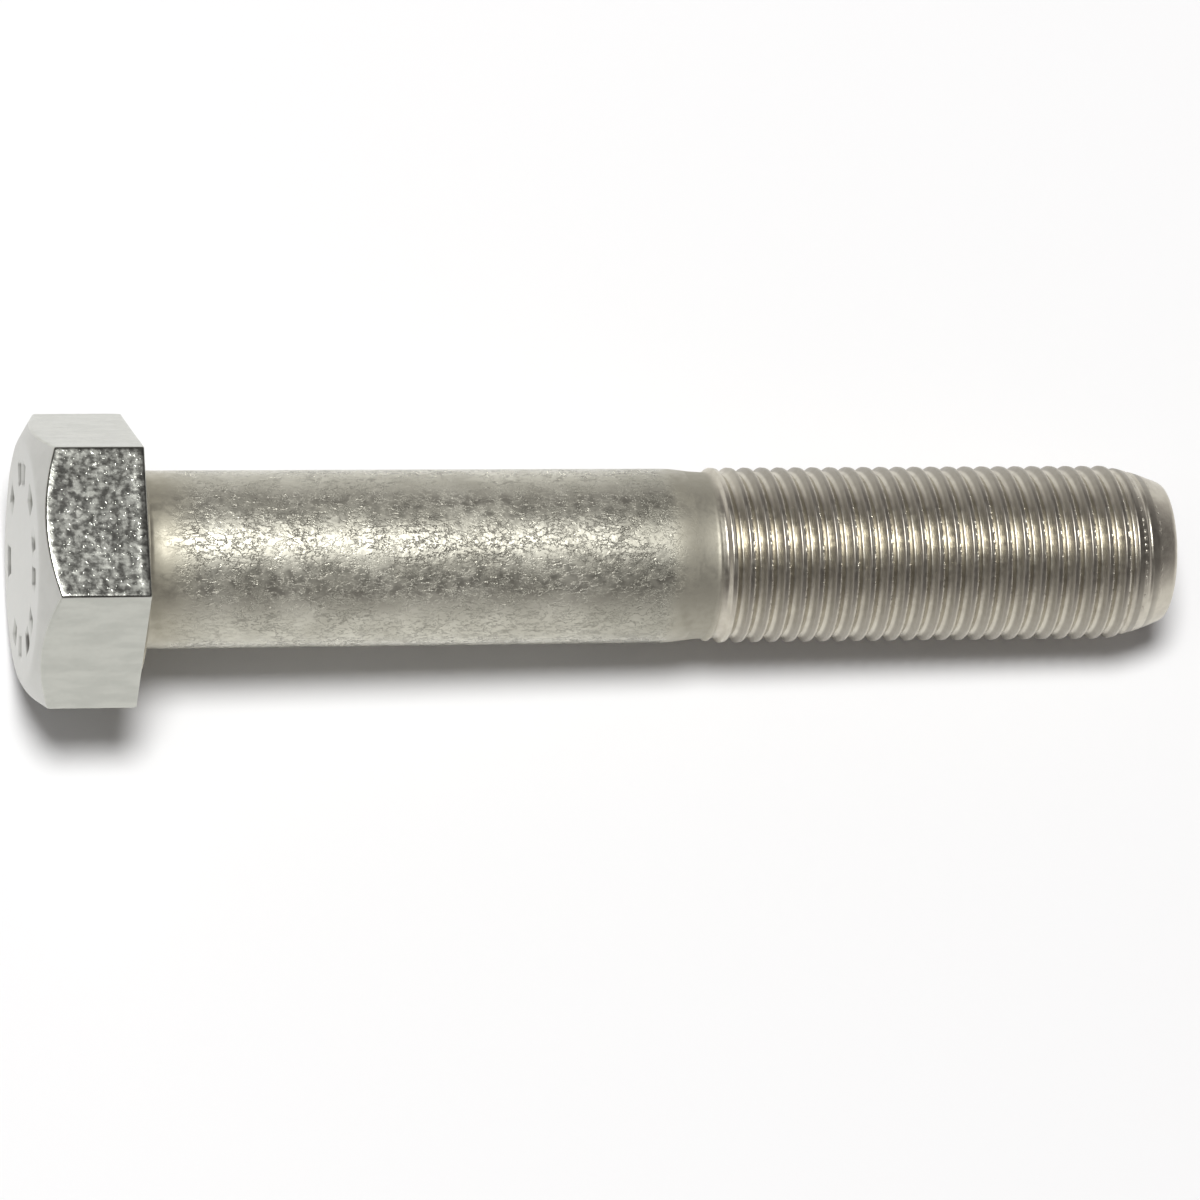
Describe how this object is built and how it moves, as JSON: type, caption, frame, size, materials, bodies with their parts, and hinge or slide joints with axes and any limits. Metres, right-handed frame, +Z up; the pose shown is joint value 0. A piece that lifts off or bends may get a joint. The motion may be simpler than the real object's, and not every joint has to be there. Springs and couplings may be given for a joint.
{
  "type": "hex bolt",
  "caption": "Stainless steel hex cap screw with a chamfered hexagon head, plain shank and rolled fine thread, for bolted joints.",
  "frame": {"origin": "centre of the head's end face", "axes": "+X along the bolt's axis from the head to the point, +Z up, square to two opposite wrench flats, Y across two opposite corners of the hexagon"},
  "size_m": [0.0837, 0.0218, 0.0188],
  "materials": {
    "stainless_steel": "forged and tumbled stainless steel, satin with fine pits on the shank, brighter rolled thread"
  },
  "bodies": {
    "root": {"hex_bolt": "stainless_steel"}
  },
  "joints": []
}
